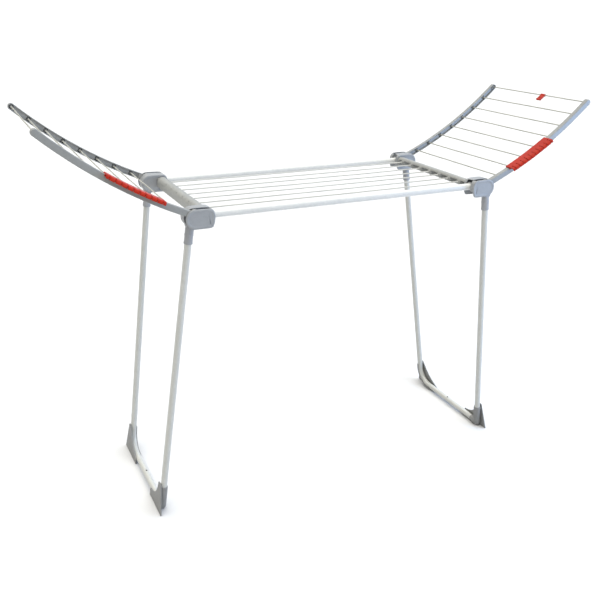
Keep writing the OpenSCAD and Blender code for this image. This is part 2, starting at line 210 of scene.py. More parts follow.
def steel(nt, b):
    v = coords(nt, (1, 14, 1))
    n = noise_tex(nt, 160, 3, 0.6, v)
    c = ramp(nt, n.outputs["Fac"], [(0.3, (0.42, 0.42, 0.44)), (0.7, (0.62, 0.62, 0.63))])
    nt.links.new(c.outputs["Color"], b.inputs["Base Color"])
    b.inputs["Metallic"].default_value = 1.0
    nt.links.new(maprange(nt, n.outputs["Fac"], 0.3, 0.7, 0.25, 0.4), b.inputs["Roughness"])
    bump(nt, b, n.outputs["Fac"], 0.2, 0.00005)


M["steel"] = mat("steel", (0.55, 0.55, 0.56), 0.3, steel)

# ------------------------------------------------------------------ mesh helpers


class MB:
    """Collects closed shells in millimetres and turns them into one mesh."""

    def __init__(self):
        self.v, self.f = [], []

    def loops(self, loops, cap0=True, cap1=True, cyc=False):
        base = len(self.v)
        n = len(loops[0])
        for lp in loops:
            self.v += [tuple(p) for p in lp]
        m = len(loops)
        for i in range(m if cyc else m - 1):
            a, b = base + i * n, base + ((i + 1) % m) * n
            for j in range(n):
                k = (j + 1) % n
                self.f.append((a + j, a + k, b + k, b + j))
        if not cyc:
            if cap0:
                self.f.append(tuple(base + j for j in range(n))[::-1])
            if cap1:
                self.f.append(tuple(base + (m - 1) * n + j for j in range(n)))
        return self

    def lathe(self, origin, axis, profile, seg=40, ref=(0, 0, 1)):
        """profile is [(distance along axis, radius)], closed at both ends."""
        a = Vector(axis).normalized()
        u = Vector(ref)
        if abs(u.dot(a)) > 0.95:
            u = Vector((1, 0, 0))
        u = (u - a * u.dot(a)).normalized()
        w = a.cross(u)
        o = Vector(origin)
        lps = [[o + a * t + (u * math.cos(2 * math.pi * j / seg) + w * math.sin(2 * math.pi * j / seg)) * r for j in range(seg)] for t, r in profile]
        return self.loops(lps)

    def slab(self, corners, mat4, rad=0.6):
        """Box given by low and high corners with chamfered edges, placed by mat4."""
        (x0, y0, z0), (x1, y1, z1) = corners
        r = min(rad, (x1 - x0) / 2.2, (y1 - y0) / 2.2, (z1 - z0) / 2.2)

        def ring(ix, z):
            a, b, c, d = x0 + ix, x1 - ix, y0 + ix, y1 - ix
            q = r * 0.6
            return [mat4 @ Vector(p) for p in ((a + q, c, z), (b - q, c, z), (b, c + q, z), (b, d - q, z), (b - q, d, z), (a + q, d, z), (a, d - q, z), (a, c + q, z))]
        return self.loops([ring(r, z0), ring(r * 0.3, z0 + r * 0.3), ring(0, z0 + r), ring(0, z1 - r), ring(r * 0.3, z1 - r * 0.3), ring(r, z1)])

    def build(self, name, scale=(1, 1, 1)):
        me = bpy.data.meshes.new(name)
        me.from_pydata([(x * scale[0] * MM, y * scale[1] * MM, z * scale[2] * MM) for x, y, z in self.v], [], self.f)
        bm = bmesh.new()
        bm.from_mesh(me)
        bmesh.ops.remove_doubles(bm, verts=bm.verts, dist=1e-7)
        bmesh.ops.recalc_face_normals(bm, faces=bm.faces)
        bm.to_mesh(me)
        bm.free()
        ob = bpy.data.objects.new(name, me)
        bpy.context.scene.collection.objects.link(ob)
        return ob


def bake(ob):
    """Applies the object's modifiers."""
    dg = bpy.context.evaluated_depsgraph_get()
    me = bpy.data.meshes.new_from_object(ob.evaluated_get(dg))
    old = ob.data
    ob.modifiers.clear()
    ob.data = me
    bpy.data.meshes.remove(old)
    return ob


def boolean(ob, cutter, op="DIFFERENCE"):
    m = ob.modifiers.new("cut", "BOOLEAN")
    m.operation = op
    m.solver = "EXACT"
    m.object = cutter
    bpy.context.view_layer.update()
    bake(ob)
    me = cutter.data
    bpy.data.objects.remove(cutter)
    bpy.data.meshes.remove(me)
    return ob


def tidy(ob, angle=1.0):
    bm = bmesh.new()
    bm.from_mesh(ob.data)
    bmesh.ops.remove_doubles(bm, verts=bm.verts, dist=2e-6)
    bmesh.ops.dissolve_limit(bm, angle_limit=math.radians(angle), verts=bm.verts, edges=bm.edges)
    bmesh.ops.recalc_face_normals(bm, faces=bm.faces)
    bm.to_mesh(ob.data)
    bm.free()
    return ob


def bevel(ob, width, seg=2, angle=32):
    m = ob.modifiers.new("bevel", "BEVEL")
    m.width = width * MM
    m.segments = seg
    m.limit_method = "ANGLE"
    m.angle_limit = math.radians(angle)
    m.use_clamp_overlap = True
    m.harden_normals = False
    bpy.context.view_layer.update()
    return bake(ob)


def finish(ob, material, body, nodes, sharp=38, weighted=True):
    me = ob.data
    me.transform(Matrix.Translation((0, DY * MM, 0)))
    me.polygons.foreach_set("use_smooth", [True] * len(me.polygons))
    me.set_sharp_from_angle(angle=math.radians(sharp))
    me.materials.clear()
    me.materials.append(material)
    if weighted:
        w = ob.modifiers.new("wn", "WEIGHTED_NORMAL")
        w.keep_sharp = True
    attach(ob, body)
    if nodes:
        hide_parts(*nodes)
    return ob


def frames(path):
    """Parallel-transported frames along a path."""
    out = []
    t_prev = u = None
    for i, p in enumerate(path):
        if i == 0:
            t = (path[1] - path[0]).normalized()
        elif i == len(path) - 1:
            t = (path[-1] - path[-2]).normalized()
        else:
            t = ((path[i + 1] - p).normalized() + (p - path[i - 1]).normalized()).normalized()
        if u is None:
            u = Vector((0, 0, 1)) if abs(t.z) < 0.9 else Vector((1, 0, 0))
            u = (u - t * u.dot(t)).normalized()
        else:
            ax = t_prev.cross(t)
            if ax.length > 1e-9:
                u = Matrix.Rotation(t_prev.angle(t), 3, ax.normalized()) @ u
            u = (u - t * u.dot(t)).normalized()
        out.append((p, t, u, t.cross(u)))
        t_prev = t
    return out


def tube(mb, path, r, wall=None, seg=28, lip=0.35, depth=30.0):
    """Tube with rounded lips; hollow for a little way in at both ends, or solid if wall is None."""
    fr = frames(path)

    def ring(f, rad, shift=0.0):
        p, t, u, w = f
        return [p + t * shift + (u * math.cos(2 * math.pi * j / seg) + w * math.sin(2 * math.pi * j / seg)) * rad for j in range(seg)]
    a, b = fr[0], fr[-1]
    lps = []
    if wall:
        ri = r - wall
        lps += [ring(a, ri * 0.05, depth), ring(a, ri, depth), ring(a, ri, lip), ring(a, ri + lip * 0.4, 0)]
    else:
        lps += [ring(a, r * 0.05, 0), ring(a, r * 0.7, 0)]
    lps += [ring(a, r - lip, 0), ring(a, r - lip * 0.3, lip * 0.3), ring(a, r, lip)]
    lps += [ring(f, r) for f in fr[1:-1]]
    lps += [ring(b, r, -lip), ring(b, r - lip * 0.3, -lip * 0.3), ring(b, r - lip, 0)]
    if wall:
        lps += [ring(b, ri + lip * 0.4, 0), ring(b, ri, -lip), ring(b, ri, -depth), ring(b, ri * 0.05, -depth)]
    else:
        lps += [ring(b, r * 0.7, 0), ring(b, r * 0.05, 0)]
    mb.loops(lps)
    return mb


def resample(pts, step):
    """Even spacing along a closed outline."""
    P = [Vector(p) for p in pts]
    n = len(P)
    seg = [(P[(i + 1) % n] - P[i]).length for i in range(n)]
    L = sum(seg)
    m = max(12, int(round(L / step)))
    out, i, acc = [], 0, 0.0
    for k in range(m):
        d = L * k / m
        while acc + seg[i] < d - 1e-9:
            acc += seg[i]
            i += 1
        t = (d - acc) / seg[i] if seg[i] else 0
        out.append(P[i].lerp(P[(i + 1) % n], t))
    return out


def chaikin(pts, keep, times=3):
    P = [Vector(p) for p in pts]
    for _ in range(times):
        Q = []
        n = len(P)
        for i in range(n):
            a, b = P[i], P[(i + 1) % n]
            Q += [a.lerp(b, 0.25), a.lerp(b, 0.75)]
        P = Q
    return P


def inset(pts, d):
    """Moves a counter-clockwise outline inwards along its normals."""
    n = len(pts)
    out = []
    for i in range(n):
        a, p, b = pts[i - 1], pts[i], pts[(i + 1) % n]
        t1, t2 = (p - a), (b - p)
        n1, n2 = Vector((-t1.y, t1.x)), Vector((-t2.y, t2.x))
        if n1.length:
            n1.normalize()
        if n2.length:
            n2.normalize()
        m = n1 + n2
        m = m.normalized() if m.length > 1e-6 else n1
        c = max(0.6, m.dot(n1))
        out.append(p + m * (d / c))
    return out


def smoothstep(t):
    t = max(0.0, min(1.0, t))
    return t * t * (3 - 2 * t)


def corner_name(sx, sy):
    return ("front" if sy < 0 else "rear") + "_" + ("left" if sx < 0 else "right")


# ------------------------------------------------------------------ rails and line wires
for sy, nm in ((-1, "front_rail"), (1, "rear_rail")):
    mb = MB()
    path = [Vector((x, sy * RAIL_HALF, RAIL_H)) for x in [-RAIL_END + i * RAIL_END * 2 / 48 for i in range(49)]]
    tube(mb, path, RAIL_R, 1.2, 40)
    finish(mb.build(nm + "_tube"), M["tube"], "centre_frame", [nm])


def wire(mb, a, b, r, n=20, bow=0.0, wob=0.12, seed=0):
    """Straightened wire: a slight bow and small bends, ends dead in their bores."""
    path = []
    a, b = Vector(a), Vector(b)
    for i in range(n + 1):
        t = i / n
        e = 4 * t * (1 - t)
        p = a.lerp(b, t)
        q = noise.noise(Vector((t * 4.1 + seed * 7.3, seed * 1.7, 0.4)))
        q2 = noise.noise(Vector((t * 4.7 - seed * 5.1, 9.2, seed * 2.3)))
        d = (b - a).normalized()
        side = d.cross(Vector((0, 0, 1))).normalized()
        path.append(p + side * (q * wob * 6 * min(1, e * 2)) + Vector((0, 0, 1)) * (q2 * wob * 5 * min(1, e * 2) - bow * e))
    tube(mb, path, r, None, 14, 0.3)


mb = MB()
for i in range(7):
    y = (i - 3) * 53.0
    wire(mb, (-420, y, LINE_Z), (420, y, LINE_Z), 1.9, 30, bow=0.8, wob=0.16, seed=i + 1)
# the line wires take the lighter copy of the wire colour, painted light
finish(mb.build("line_wires_coated"), M["line"], "centre_frame", ["line_wires"], weighted=False)


# ------------------------------------------------------------------ housings
def cheek_outline(step=1.5):
    cx, cz, r = 463.0, 896.7, 26.5
    arc_pts = [(cx + r * math.cos(a), cz + r * math.sin(a)) for a in [math.radians(-90 + 180 * i / 48) for i in range(49)]]
    inner = [(452, cz + r), (423.5, cz + 26.0), (416.0, cz + 23.4), (411.2, cz + 16.5), (408.4, cz + 5.0), (409.8, cz - 8.0), (413.6, cz - 19.6), (416.6, cz - 24.8), (423, cz - r - 0.2), (452, cz - r)]
    k = [Vector(p) for p in inner]
    for _ in range(2):
        q = [k[0]]
        for a, b in zip(k, k[1:]):
            q += [a.lerp(b, 0.25), a.lerp(b, 0.75)]
        k = q + [k[-1]]
    return resample([Vector(p) for p in arc_pts] + k, step)


def tray(mb, out, yf, sgn, prof, edge_fn, wall, floor):
    """Dished tray. out is a CCW outline in X-Z; yf the face; depth grows along sgn. prof is [(inset, depth)] over the rounded face edge."""
    lps = []
    edges = [edge_fn(p) for p in out]
    n = len(out)
    for ins, d in prof:
        q = inset(out, ins) if ins else out
        lps.append([Vector((q[i].x, yf + sgn * min(d, edges[i] - 0.05), q[i].y)) for i in range(n)])
    for ins, de in ((0.0, -0.5), (0.18, -0.12), (0.55, 0.0), (wall - 0.5, 0.0), (wall - 0.1, -0.12), (wall, -0.5)):
        q = inset(out, ins) if ins else out
        lps.append([Vector((q[i].x, yf + sgn * max(edges[i] + de, floor - 0.2 if ins > 0.6 else 0.4), q[i].y)) for i in range(n)])
    q = inset(out, wall)
    lps.append([Vector((q[i].x, yf + sgn * floor, q[i].y)) for i in range(n)])
    mb.loops(lps)
    return mb


FACE = [(10.5, 1.0), (9.2, 0.95), (8.2, 0.72), (7.2, 0.35), (6.4, 0.10), (5.6, 0.0), (4.2, 0.0), (3.2, 0.08), (2.3, 0.34), (1.5, 0.8), (0.85, 1.4), (0.4, 2.1)]


def rim_edge(near, far, plate):
    """Depth of the rim: near at the inner end, far over the top and the round end, none underneath."""
    def f(p):
        k = max(smoothstep((p.y - 887.4) / 2.2), smoothstep((p.x - 480.8) / 2.0))
        d = near + (far - near) * smoothstep((p.x - 418.0) / 2.0)
        return plate + (d - plate) * k
    return f


out = cheek_outline()
for sx in (-1, 1):
    for sy in (-1, 1):
        nm = corner_name(sx, sy)
        ly = leg_y(sx)
        # outer shell
        mb = MB()
        tray(mb, out, H_OUT, -1, FACE, rim_edge(15.3, 2.6, 2.5), 2.3, 2.4)
        mb.lathe((446, 231.7, 893), (0, 1, 0), [(0, 2.1), (0, 3.8), (0.4, 4.2), (4.8, 4.2), (4.8, 2.1)], 28)
        if sx < 0:
            mb.lathe((PIVOT_X, ly + 11.5, PIVOT_Z), (0, 1, 0), [(0, 4.2), (0, 6.1), (0.4, 6.5), (236.4 - ly - 11.5, 6.5), (236.4 - ly - 11.5, 4.2)], 36)
        finish(mb.build(nm + "_housing_cover_shell", (sx, sy, 1)), M["housing"], "centre_frame", [nm + "_housing_cover"])
        # inner shell
        mb = MB()
        tray(mb, out, H_IN, 1, FACE, rim_edge(9.8, 30.0, 2.5), 2.3, 2.4)
        mb.lathe((HINGE[0], 192.9, HINGE[1]), (0, 1, 0), [(0, 4.2), (0, 6.5), (27.8, 6.5), (28.2, 6.1), (28.2, 4.2)], 36)
        mb.lathe((446, 192.9, 893), (0, 1, 0), [(0, 1.0), (0, 4.2), (38.1, 4.2), (38.5, 3.8), (38.5, 2.0), (41.8, 2.0), (42.1, 1.6), (42.1, 1.0)], 28)
        mb.slab(((415.6, 193.0, 888.8), (441.4, 223.2, 911.2)), Matrix.Identity(4), 1.0)
        # collar where the rail goes in
        mb.lathe((413.9, RAIL_HALF, RAIL_H), (1, 0, 0), [(0.0, 10.1), (0.0, 10.7), (0.5, 11.2), (3.0, 11.2), (3.0, 10.1)], 40)
        if sx > 0:
            mb.lathe((PIVOT_X, 192.9, PIVOT_Z), (0, 1, 0), [(0, 4.2), (0, 6.5), (ly - 11.5 - 192.9 - 0.4, 6.5), (ly - 11.5 - 192.9, 6.1), (ly - 11.5 - 192.9, 4.2)], 36)
        finish(mb.build(nm + "_housing_base_shell", (sx, sy, 1)), M["housing"], "centre_frame", [nm + "_housing_base"])


# ------------------------------------------------------------------ crossbars
def crossbar(sx):
    half = H_IN - 0.1
    ys = []
    y = -half
    while y < half - 1e-6:
        ys.append(y)
        y += 2.0
    ys.append(half)
    X0, X1, ZT, ZB, W = 414.0, 443.0, 915.0, 886.0, 2.8

    def section(y):
        b = 0.0
        for i in range(7):
            t = (y - (i - 3) * 53.0) / 9.5
            b = max(b, math.cos(t * math.pi / 2) ** 2 if abs(t) < 1 else 0.0)
        e = smoothstep((half - abs(y)) / 3.0)
        crown = 0.0
        pts = []
        # outer skin from the inner lower edge, over the top, to the outer lower edge
        def bx(z):
            g = math.exp(-((z - 903.5) / 6.5) ** 2)
            return X0 - 4.4 * b * g
        for i in range(12):
            z = ZB + 0.6 + (ZT - 11 - ZB) * i / 12
            pts.append((bx(z), z))
        for i in range(11):
            a = math.pi - (math.pi / 2) * i / 10
            x, z = X0 + 11 + 11 * math.cos(a), ZT - 11 + 11 * math.sin(a)
            pts.append((x - (4.4 * b * math.exp(-((z - 903.5) / 6.5) ** 2) * max(0, -math.cos(a))), z))
        for i in range(1, 7):
            pts.append((X0 + 11 + (X1 - 14 - X0 - 11) * i / 7, ZT))
        for i in range(13):
            a = math.pi / 2 - (math.pi / 2) * i / 12
            pts.append((X1 - 14 + 14 * math.cos(a), ZT - 14 + 14 * math.sin(a)))
        for i in range(1, 6):
            pts.append((X1, ZT - 14 - (ZT - 14 - ZB - 0.6) * i / 5))
        pts.append((X1 - 0.6, ZB))
        pts.append((X1 - W + 0.5, ZB))
        pts.append((X1 - W, ZB + 0.6))
        # inner skin back
        for i in range(9):
            a = (math.pi / 2) * i / 8
            pts.append((X1 - 14 + (14 - W) * math.cos(a), ZT - 14 + (14 - W) * math.sin(a)))
        for i in range(9):
            a = math.pi / 2 + (math.pi / 2) * i / 8
            pts.append((X0 + 11 + (11 - W) * math.cos(a), ZT - 11 + (11 - W) * math.sin(a)))
        pts.append((X0 + W, ZB + 0.6))
        pts.append((X0 + W - 0.5, ZB))
        pts.append((X0 + 0.6, ZB))
        return pts
    mb = MB()
    mb.loops([[Vector((x, y, z)) for x, z in section(y)] for y in ys])
    ob = mb.build("bar")
    # the inner wall is left only as a short rounded tab at each wire
    cut = MB()
    lo_, hi_ = -half + 4.5, half - 4.5
    edge = [Vector((lo_, 880.0)), Vector((hi_, 880.0))]
    for i in range(8):
        c = (3.5 - i) * 53.0
        y1 = min(c + 18.5, hi_)
        y0 = max(c - 18.5, lo_)
        if i > 0:
            edge += [Vector((y1 + 1.5, 896.6)), Vector((y1 + 0.4, 897.3)), Vector((y1, 898.6))]
        for k in range(5):
            t = math.radians(90 * k / 4)
            edge.append(Vector((y1 - 2.5 + 2.5 * math.cos(t), 905.6 + 2.5 * math.sin(t))))
        for k in range(5):
            t = math.radians(90 + 90 * k / 4)
            edge.append(Vector((y0 + 2.5 + 2.5 * math.cos(t), 905.6 + 2.5 * math.sin(t))))
        if i < 7:
            edge += [Vector((y0, 898.6)), Vector((y0 - 0.4, 897.3)), Vector((y0 - 1.5, 896.6))]
    cut.loops([[Vector((x, q.x, q.y)) for q in edge] for x in (402.0, 417.6)])
    ob = boolean(ob, cut.build("cutter"))
    tidy(ob, 0.5)
    # end plates, wire bosses and cross ribs
    mb = MB()
    for s in (-1, 1):
        mb.slab(((416.0, min(s * (half - 3.0), s * (half - 0.05)), 886.4), (441.6, max(s * (half - 3.0), s * (half - 0.05)), 912.6)), Matrix.Identity(4), 0.4)
    for i in range(7):
        y = (i - 3) * 53.0
        mb.lathe((411.6, y, LINE_Z), (1, 0, 0), [(0, 1.7), (0, 4.6), (0.5, 5.2), (11.0, 5.2), (11.4, 4.8), (11.4, 1.7)], 28)
        mb.slab(((416.6, y - 0.9, 893.0), (440.4, y + 0.9, 912.4)), Matrix.Identity(4), 0.3)
    b2 = mb.build("bar_ribs")
    return ob, b2


def join(name, obs, scale=(1, 1, 1)):
    bm = bmesh.new()
    for o in obs:
        bm.from_mesh(o.data)
    for v in bm.verts:
        v.co = Vector((v.co.x * scale[0], v.co.y * scale[1], v.co.z * scale[2]))
    if scale[0] * scale[1] * scale[2] < 0:
        bmesh.ops.reverse_faces(bm, faces=bm.faces)
    me = bpy.data.meshes.new(name)
    bm.to_mesh(me)
    bm.free()
    for o in obs:
        bpy.data.objects.remove(o)
    ob = bpy.data.objects.new(name, me)
    bpy.context.scene.collection.objects.link(ob)
    return ob


for sx, nm in ((-1, "left_crossbar"), (1, "right_crossbar")):
    a, b = crossbar(sx)
    ob = join(nm + "_moulding", [a, b], (sx, 1, 1))
    finish(ob, M["bar"], "centre_frame", [nm], 32)


# ------------------------------------------------------------------ wing arms
def arm_section(s):
    """Channel section of the arm at s, open towards the wires, with rounded outer corners."""
    H, t, r, w = 9.0, 2.2, 2.4, 2.6
    P = [(-H + t, ARM_Y0 + 0.5), (-H + t - 0.4, ARM_Y0 + 0.1), (-H + 0.6, ARM_Y0), (-H + 0.15, ARM_Y0 + 0.2), (-H, ARM_Y0 + 0.7)]
    for i in range(7):
        a = math.radians(15 * i)
        P.append((-H + r - r * math.cos(a), ARM_Y1 - r + r * math.sin(a)))
    P += [(-3.5, ARM_Y1), (0, ARM_Y1), (3.5, ARM_Y1)]
    for i in range(7):
        a = math.radians(15 * i)
        P.append((H - r + r * math.sin(a), ARM_Y1 - r + r * math.cos(a)))
    P += [(H, ARM_Y0 + 0.7), (H - 0.15, ARM_Y0 + 0.2), (H - 0.6, ARM_Y0), (H - t + 0.4, ARM_Y0 + 0.1), (H - t, ARM_Y0 + 0.5)]
    P += [(H - t, ARM_Y1 - w - 0.6), (H - t - 0.6, ARM_Y1 - w), (-H + t + 0.6, ARM_Y1 - w), (-H + t, ARM_Y1 - w - 0.6)]
    out_ = []
    for off, y in P:
        x, z = arc(s, off)
        out_.append(Vector((x, y, z)))
    return out_


def arm_mesh(sx, sy):
    mb = MB()
    n = int((S_TIP - 18.0) / 4.0)
    mb.loops([arm_section(18.0 + (S_TIP - 18.0) * i / n) for i in range(n + 1)])
    # hinge eye
    mb.lathe((HINGE[0], ARM_Y0 + 0.1, HINGE[1]), (0, 1, 0), [(0, 4.1), (0, 10.2), (0.3, 10.7), (0.8, 11.0), (13.0, 11.0), (13.5, 10.7), (13.8, 10.2), (13.8, 4.1)], 48)

    def local(s):
        x, z = arc(s)
        a = arc_ang(s)
        return Matrix.Translation((x, 0, z)) @ Matrix.Rotation(-a, 4, "Y")
    mb.slab(((-14, ARM_Y0 + 0.3, -8.8), (14, ARM_Y1 - 2.0, 8.8)), local(31.0), 0.8)
    # filled lengths between the wires leave a pocket at each wire
    for n in range(NW):
        a = S0 + (n - 1) * PITCH + 5.0 if n else 44.0
        b = S0 + n * PITCH - 5.0
        L = local((a + b) / 2)
        h = (b - a) / 2
        mb.slab(((-h, ARM_Y0 + 5.4, -7.2), (h, ARM_Y1 - 2.0, 7.2)), L, 1.0)
    for n in range(NW - 1):
        L = local(S0 + n * PITCH)
        mb.lathe(L @ Vector((0, ARM_Y0 + 4.0, 0)), (0, 1, 0), [(0, 1.7), (0, 3.0), (0.3, 3.4), (8.0, 3.7), (8.0, 1.7)], 24)
    x, z = arc(S_TIP)
    mb.lathe((x, ARM_Y0, z), (0, 1, 0), [(11.3, 0.1), (11.3, 6.5), (0.4, 6.5), (0.0, 6.9), (-0.12, 7.4), (-0.12, 8.4), (0.1, 8.9), (0.6, 9.08), (11.6, 9.08), (12.9, 8.75), (13.8, 7.9), (14.1, 6.7), (14.1, 0.1)], 48)
    mb.lathe((x, ARM_Y0 + 1.5, z), (0, 1, 0), [(0, 1.75), (0, 3.2), (0.4, 3.7), (10.5, 4.0), (10.5, 1.75)], 32)
    return mb


for sx, sd in ((-1, "left"), (1, "right")):
    body = sd + "_wing"
    for sy, fr_ in ((-1, "front"), (1, "rear")):
        nm = "%s_wing_%s_arm" % (sd, fr_)
        ob = arm_mesh(sx, sy).build(nm + "_moulding", (sx, sy, 1))
        finish(ob, M["arm"], body, [nm], 36)
    mb = MB()
    for n in range(NW):
        x, z = arc(S0 + n * PITCH)
        wire(mb, (x, -232.8, z), (x, 232.8, z), 1.8, 18, bow=0.35, wob=0.10, seed=20 + n + (11 if sx > 0 else 0))
    ob = mb.build(sd + "_wing_wires_coated", (sx, 1, 1))
    finish(ob, M["wire"], body, [sd + "_wing_wires"], weighted=False)


# ------------------------------------------------------------------ hanger combs
def comb_mesh():
    c0, L, N = 106.0, 162.0, 10
    outy = 259.0
    a0, a1 = ARM_Y0, ARM_Y1
    top = 13.0
    # section in (off above the arm's axis, y): outer skin, then inner skin
    prof = [(6.0, a0 - 2.2), (6.4, a0 - 2.4), (11.0, a0 - 2.4)]
    for i in range(1, 6):
        t = math.radians(90 * i / 5)
        prof.append((11.0 + 2.0 * math.sin(t), a0 - 2.4 + 2.0 * (1 - math.cos(t))))
    prof += [(top, a0 + 6), (top + 0.1, a0 + 14), (top, outy - 13), (top, outy - 9)]
    for i in range(1, 13):
        t = math.radians(90 * i / 12)
        prof.append((top - 9.0 * (1 - math.cos(t)), outy - 9.0 + 9.0 * math.sin(t)))
    prof += [(3.3, outy - 0.15), (2.85, outy - 0.8), (2.75, outy - 1.9), (2.95, outy - 3.1), (3.6, outy - 3.8)]
    for i in range(0, 9):
        t = math.radians(90 - 90 * i / 8)
        prof.append((top - 9.0 + 5.05 * math.cos(t), outy - 9.0 + 5.05 * math.sin(t)))
    prof += [(9.05, a1 + 2.7), (4.6, a1 + 2.6), (4.0, a1 + 1.9), (4.0, a1 + 0.8), (4.6, a1 + 0.25), (9.08, a1 + 0.2), (9.08, a0 - 0.2), (6.4, a0 - 0.2), (6.0, a0 - 0.5)]
    mb = MB()
    n = 90
    lps = []
    for i in range(n + 1):
        s = c0 + L * i / n
        d = min(i, n - i)
        shrink = [0.9, 0.35, 0.08][d] if d < 3 else 0.0
        lp = []
        for off, y in prof:
            off2 = off - (shrink * 0.9 if off > 12 else 0)
            y2 = y - (shrink * 0.9 if y > 257 else 0) + (shrink * 0.5 if y < a0 - 2 else 0)
            x, z = arc(s, off2)
            lp.append(Vector((x, y2, z)))
        lps.append(lp)
    mb.loops(lps)
    ob = mb.build("comb")
    cut = MB()
    for i in range(N):
        s = c0 + (i + 0.5) * L / N
        x, z = arc(s)
        Lc = Matrix.Translation((x, 0, z)) @ Matrix.Rotation(-arc_ang(s), 4, "Y")
        cut.lathe(Lc @ Vector((0, 243.0, 4.0)), Lc.to_3x3() @ Vector((0, 0, 1)), [(0, 2.2), (14, 2.2)], 20)
    holes = cut.build("cutter")
    ob = boolean(ob, holes)
    cut = MB()
    for i in range(N):
        s = c0 + (i + 0.5) * L / N
        x, z = arc(s)
        Lc = Matrix.Translation((x, 0, z)) @ Matrix.Rotation(-arc_ang(s), 4, "Y")
        w = 0.95
        ring = [(w, 243.2), (w, 256.0), (w + 0.6, 262.0), (-w - 0.6, 262.0), (-w, 256.0), (-w, 243.2)]
        cut.loops([[Lc @ Vector((p, q, -9.0)) for p, q in ring], [Lc @ Vector((p, q, 17.0)) for p, q in ring]])
    ob = boolean(ob, cut.build("cutter"))
    tidy(ob, 0.4)
    bevel(ob, 0.4, 2, 40)
    return ob


for sx, sd in ((-1, "left"), (1, "right")):
    ob = join(sd + "_hanger_comb_moulding", [comb_mesh()], (sx, -1, 1))
    finish(ob, M["red"], sd + "_wing", [sd + "_hanger_comb"], 40)


# ------------------------------------------------------------------ lock clip
def clip_mesh():
    tx, tz = arc(S_TIP)
    L = Matrix.Translation((tx, -33.0, tz)) @ Matrix.Rotation(math.radians(-38), 4, "Y")
    mb = MB()

    def plate(outline, y0, y1, rad=0.5):
        o = [Vector(p) for p in outline]
        if sum(o[i].x * o[(i + 1) % len(o)].y - o[(i + 1) % len(o)].x * o[i].y for i in range(len(o))) < 0:
            o = o[::-1]
        lp = []
        for ins, y in ((rad, y0), (rad * 0.3, y0 + rad * 0.3), (0, y0 + rad), (0, y1 - rad), (rad * 0.3, y1 - rad * 0.3), (rad, y1)):
            q = inset(o, ins) if ins else o
            lp.append([L @ Vector((p.x, y, p.y)) for p in q])
        mb.loops(lp)
    # open ring round the wire, solid body lying along the wing, rounded free end
    pts = [(4.1 * math.cos(math.radians(18 + 324 * i / 28)), 4.1 * math.sin(math.radians(18 + 324 * i / 28))) for i in range(29)]
    inner = [(1.72 * math.cos(math.radians(342 - 324 * i / 28)), 1.72 * math.sin(math.radians(342 - 324 * i / 28))) for i in range(29)]
    plate(pts + inner, -9.5, 9.5, 0.3)
    body = [(-3.2, 2.5), (-8, 2.45), (-14, 2.45), (-18.4, 2.5)]
    body += [(-21.5 + 3.1 * math.cos(math.radians(a)), 3.1 * math.sin(math.radians(a))) for a in range(60, 301, 16)]
    body += [(-18.4, -2.5), (-14, -2.45), (-8, -2.45), (-3.2, -2.5)]
    plate(body, -9.5, 9.5, 0.8)
    # shallow grip ribs on the free end
    for k in range(3):
        plate([(-19.0 + 3.4 * k, 2.2), (-19.0 + 3.4 * k, 2.9), (-17.9 + 3.4 * k, 2.9), (-17.9 + 3.4 * k, 2.2)], -7.5, 7.5, 0.25)
    return mb


ob = clip_mesh().build("lock_clip_moulding")
finish(ob, M["red"], "lock_clip", ["lock_clip"], 40)


# ------------------------------------------------------------------ leg frames
def plane(y, w, out_=0.0):
    """A point of a right-hand leg frame: y across, w up the frame, out_ outwards."""
    return Vector((BAR[0] + out_ * math.cos(LEAN) - w * math.sin(LEAN), y, BAR[1] + out_ * math.sin(LEAN) + w * math.cos(LEAN)))


UP = (plane(0, 1) - plane(0, 0)).normalized()
OUTN = (plane(0, 0, 1) - plane(0, 0)).normalized()


def toe(sx):
    return math.atan((leg_y(sx) - FOOT_HALF) / PIVOT_W)


def on_leg(sx, f, t, a=0.0, b=0.0):
    """Point on a leg axis, t up from the corner; a sideways in the frame plane, b outwards."""
    q = toe(sx)
    y = f * (FOOT_HALF + t * math.sin(q)) + a * math.cos(q)
    w = t * math.cos(q) - f * a * math.sin(q)
    return plane(y, w, b)


def leg_dir(sx, f):
    return (on_leg(sx, f, 1) - on_leg(sx, f, 0)).normalized()


def rounded_plate(mb, outline, o0, o1, rad=0.9):
    """Plate in the leg frame plane from o0 to o1 outwards; outline in (y, w)."""
    o = [Vector(p) for p in outline]
    if sum(o[i].x * o[(i + 1) % len(o)].y - o[(i + 1) % len(o)].x * o[i].y for i in range(len(o))) < 0:
        o = o[::-1]
    o = resample(o, 2.2)
    lp = []
    for ins, d in ((rad, 0), (rad * 0.3, rad * 0.3), (0, rad)):
        q = inset(o, ins) if ins else o
        lp.append([(p, o0 + d) for p in q])
    for ins, d in ((0, rad), (rad * 0.3, rad * 0.3), (rad, 0)):
        q = inset(o, ins) if ins else o
        lp.append([(p, o1 - d) for p in q])
    mb.loops([[plane(p.x, p.y, d) for p, d in l] for l in lp])


